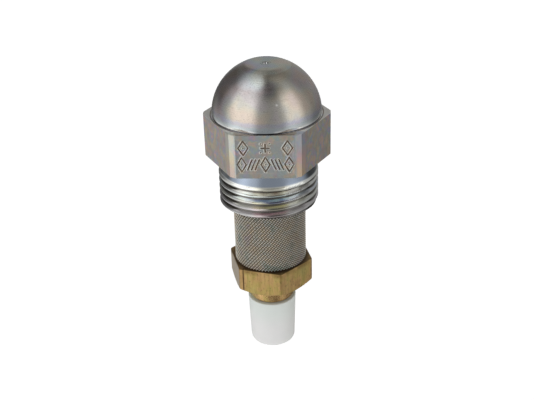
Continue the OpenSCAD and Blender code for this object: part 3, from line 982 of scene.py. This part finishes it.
def tarnished_brass():
    """Drawn brass bar gone dull: vertical streaks, brown and olive tarnish."""
    coat = Coat("tarnished_brass")
    x, y, z, radius = coat.parts()
    streaks = coat.noise(1.9, 5.0, 0.65, (1.6, 1.6, 0.16))
    patches = coat.noise(0.5, 3.0, 0.55, (1, 1, 0.6), 5.0)
    grain = coat.noise(8.0, 4.0, 0.6)

    coat.paint(coat.ramp(streaks, [(0.25, (0.28, 0.17, 0.06)), (0.5, (0.55, 0.38, 0.14)),
                                   (0.75, (0.76, 0.59, 0.25))]))
    tarnish = coat.ramp(patches, [(0.3, (0.40, 0.22, 0.11)), (0.46, (0.68, 0.42, 0.20)),
                                  (0.56, (0.58, 0.46, 0.15)), (0.7, (0.46, 0.44, 0.16))])
    coat.paint(tarnish, 0.5)
    specks = coat.noise(3.2, 3.0, 0.7, (1, 1, 0.7), 13.0)
    coat.paint((0.20, 0.15, 0.07), (specks, 0.55, 0.7, 0.0, 0.6))

    # A painted sheen where the left faces are seen edge-on.
    grazing_sheen = coat.times((x, -4.5, -4.7), (coat.facing(), 0.6, 0.76), 0.75)
    coat.paint((0.96, 0.88, 0.76), grazing_sheen)
    scratch = coat.times((coat.distance(x, -3.95), 0.12, 0.05), (y, -4.0, -4.3))
    coat.paint((0.10, 0.06, 0.03), scratch)
    stain = coat.times((z, STEM_HEX_TOP - 1.0, STEM_HEX_TOP - 0.1), (patches, 0.42, 0.6), 0.6)
    coat.paint((0.24, 0.12, 0.05), stain)
    # Painted shade on the top face, under the strainer.
    shade_under_mesh = coat.times((z, STEM_HEX_TOP - 0.05, STEM_HEX_TOP - 0.01),
                         (radius, 6.1, 5.4, 0.35, 1.0))
    coat.paint((0.16, 0.105, 0.055), shade_under_mesh)

    collar = coat.span(z, STEM_HEX_BOTTOM - 0.05, STEM_HEX_BOTTOM - 0.3)
    rough = coat.plus(coat.level(grain, 0.38, 0.5), coat.times(collar, -0.15))
    return coat.finish(rough, coat.mix(collar, streaks, coat.lines(z, 8.0)), 0.014, metallic=1.0)


def pressed_brass():
    """Pressed brass of the cage and the end rings, dull, and painted dark as the shade behind the
    mesh.
    """
    coat = Coat("pressed_brass")
    grain = coat.noise(3.0, 4.0, 0.6)
    patches = coat.noise(0.5, 2.0, 0.5, (1, 1, 1), 2.0)
    coat.paint(coat.ramp(patches, [(0.35, (0.13, 0.09, 0.05)), (0.65, (0.22, 0.16, 0.08))]))
    return coat.finish(coat.level(grain, 0.35, 0.5), grain, 0.01, metallic=1.0)


def waxy_plastic():
    """White moulded plastic, slightly translucent, with faint flow marks."""
    coat = Coat("waxy_plastic")
    x, _, z, _ = coat.parts()
    cloud = coat.noise(0.45, 3.0, 0.5, (1, 1, 0.7), 9.0)
    grain = coat.noise(5.0, 4.0, 0.6)
    coat.paint((0.74, 0.735, 0.73))
    coat.paint((0.68, 0.72, 0.69), (z, SLEEVE_LOW.z + 3.0, SLEEVE_HIGH.z - 1.0))
    coat.paint((0.60, 0.62, 0.60), coat.level(cloud, 0.0, 0.14))
    # Painted shade on the right side.
    coat.paint((0.50, 0.51, 0.46), (x, 0.8, 3.4, 0.0, 0.35))
    return coat.finish(coat.level(grain, 0.4, 0.52), coat.blend(cloud, 0.8, grain), 0.03,
                       subsurface_weight=0.35, subsurface_scale=0.6 * MM,
                       subsurface_radius=(1.0, 1.0, 0.95))


def seal_plastic():
    """Matt off-white ring."""
    coat = Coat("seal_plastic")
    grain = coat.noise(4.0, 4.0, 0.6)
    coat.paint(coat.ramp(grain, [(0.3, (0.74, 0.72, 0.64)), (0.7, (0.82, 0.80, 0.73))]))
    return coat.finish(coat.level(grain, 0.5, 0.65), grain, 0.01)


def finish_cad_nodes():
    """Gives the pieces that keep their CAD shape their finishes."""
    for finish, names in ((lapped_steel(), ("swirl_distributor", "retaining_screw")),
                          (seal_plastic(), ("return_seal",)),
                          (pressed_brass(), ("upper_end_ring", "lower_end_ring", "support_cage"))):
        for name in names:
            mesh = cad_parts[name].data
            mesh.materials.clear()
            mesh.materials.append(finish)


# ---- studio

def build_floor():
    """A plain pale sheet below the sleeve, a little brighter than its surroundings."""
    half_width = 3.0
    work = bmesh.new()
    bmesh.ops.create_grid(work, x_segments=12, y_segments=12, size=half_width)
    mesh = bpy.data.meshes.new("floor")
    work.to_mesh(mesh)
    work.free()
    floor = add_object("floor", mesh)
    floor.location.z = (SLEEVE_LOW.z - FLOOR_GAP) * MM
    coat = Coat("pale_floor")
    grain = coat.noise(0.02, 3.0, 0.5)
    coat.paint(coat.ramp(grain, [(0.3, (0.90,) * 3), (0.7, (0.92,) * 3)]))
    mesh.materials.append(coat.finish(0.9, emission_color=(1.0,) * 4, emission_strength=0.6))
    floor.visible_glossy = False


# Brightness of the studio against the compass angle from the camera's side, in degrees,
# in three belts. 0 is towards the camera and positive angles lie to its right.
STUDIO_BELTS = {
    "low": [(-180, 0.32), (-152, 0.14), (-124, 0.50), (-92, 0.6), (-62, 1.15), (-36, 0.8),
            (-12, 0.40), (10, 0.38), (32, 0.40), (57, 0.66), (84, 0.48), (117, 0.19),
            (148, 0.15), (180, 0.32)],
    "middle": [(-180, 0.36), (-152, 0.10), (-120, 0.13), (-98, 0.5), (-75, 1.3), (-32, 1.3),
               (-12, 0.44), (8, 0.34), (32, 0.44), (50, 1.15), (72, 1.1), (92, 0.44),
               (118, 0.28), (150, 0.32), (180, 0.36)],
    "top": [(-180, 0.22), (-150, 0.2), (-115, 0.5), (-85, 0.9), (-50, 1.1), (-22, 0.5),
            (-3, 0.11), (30, 0.08), (60, 0.2), (95, 0.5), (125, 0.25), (160, 0.13),
            (180, 0.22)],
}


def build_world():
    """White for the camera. Reflections and soft light come from the belts above."""
    world = bpy.data.worlds.new("studio")
    bpy.context.scene.world = world
    world.use_nodes = True
    sky = Nodes(world.node_tree)
    split = sky.add("ShaderNodeSeparateXYZ")
    sky.join(sky.add("ShaderNodeTexCoord").outputs["Generated"], split.inputs[0])
    x, y, z = split.outputs
    compass = sky.math("ARCTAN2", x, sky.times(y, -1.0))
    share = sky.plus(sky.math("DIVIDE", compass, 2 * math.pi), 0.5)
    belts = {}
    for belt, levels in STUDIO_BELTS.items():
        stops = [((angle + 180) / 360, (level,) * 3) for angle, level in levels]
        belts[belt] = sky.ramp(share, stops, "EASE")
    light = sky.mix(sky.span(z, -0.4, 0.05), belts["low"], belts["middle"])
    light = sky.mix(sky.span(z, 0.6, 0.9), light, belts["top"])
    camera_ray = sky.add("ShaderNodeLightPath").outputs["Is Camera Ray"]
    background = sky.add("ShaderNodeBackground")
    sky.join(sky.mix(camera_ray, light, (1.0, 1.0, 1.0)), background.inputs["Color"])
    output = sky.add("ShaderNodeOutputWorld")
    sky.join(background.outputs[0], output.inputs["Surface"])


def add_softbox(name, azimuth, power):
    """A soft panel at a compass angle from the camera's side, aimed at the object."""
    distance, height = 0.45, 0.15
    light = bpy.data.lights.new(name, "AREA")
    light.shape = "RECTANGLE"
    light.size, light.size_y = 0.3, 0.5
    light.energy = power
    box = add_object(name, light)
    turn = math.radians(azimuth)
    box.location = (distance * math.sin(turn), -distance * math.cos(turn), height)
    box.rotation_euler = (-box.location).to_track_quat("-Z", "Y").to_euler()
    box.visible_camera = False
    box.visible_glossy = False


# Distance and height from the origin, lens and sensor in millimetres, and angles in degrees.
CAMERA = {"azimuth": 2.671, "distance": 122.99, "height": 66.32, "pitch": 28.514,
          "roll": -1.775, "yaw": -0.16, "lens": 64.58, "sensor": 36.0}


def build_camera():
    """The camera, turned by its yaw, pitch and roll from the line towards the axis."""
    data = bpy.data.cameras.new("camera")
    data.sensor_width = CAMERA["sensor"]
    data.lens = CAMERA["lens"]
    data.clip_start, data.clip_end = 0.005, 20.0
    camera = add_object("camera", data)
    around = Matrix.Rotation(math.radians(CAMERA["azimuth"]), 3, "Z")
    pitch, yaw = math.radians(CAMERA["pitch"]), math.radians(CAMERA["yaw"])
    roll = math.radians(CAMERA["roll"])
    forward = around @ Vector((math.sin(yaw) * math.cos(pitch),
                               math.cos(yaw) * math.cos(pitch), -math.sin(pitch)))
    level = forward.cross(Vector((0, 0, 1))).normalized()
    right = level * math.cos(roll) + level.cross(forward) * math.sin(roll)
    axes = Matrix((right, right.cross(forward), -forward)).transposed()
    spot = around @ Vector((0, -CAMERA["distance"] * MM, CAMERA["height"] * MM))
    camera.matrix_world = Matrix.Translation(spot) @ axes.to_4x4()
    bpy.context.scene.camera = camera


build_body()
build_stem()
build_sleeve()
build_strainer_mesh()
finish_cad_nodes()
build_floor()
build_world()
add_softbox("softbox_left", azimuth=-48, power=0.10)
add_softbox("softbox_right", azimuth=56, power=0.05)
build_camera()
bpy.context.scene.view_settings.view_transform = "Standard"
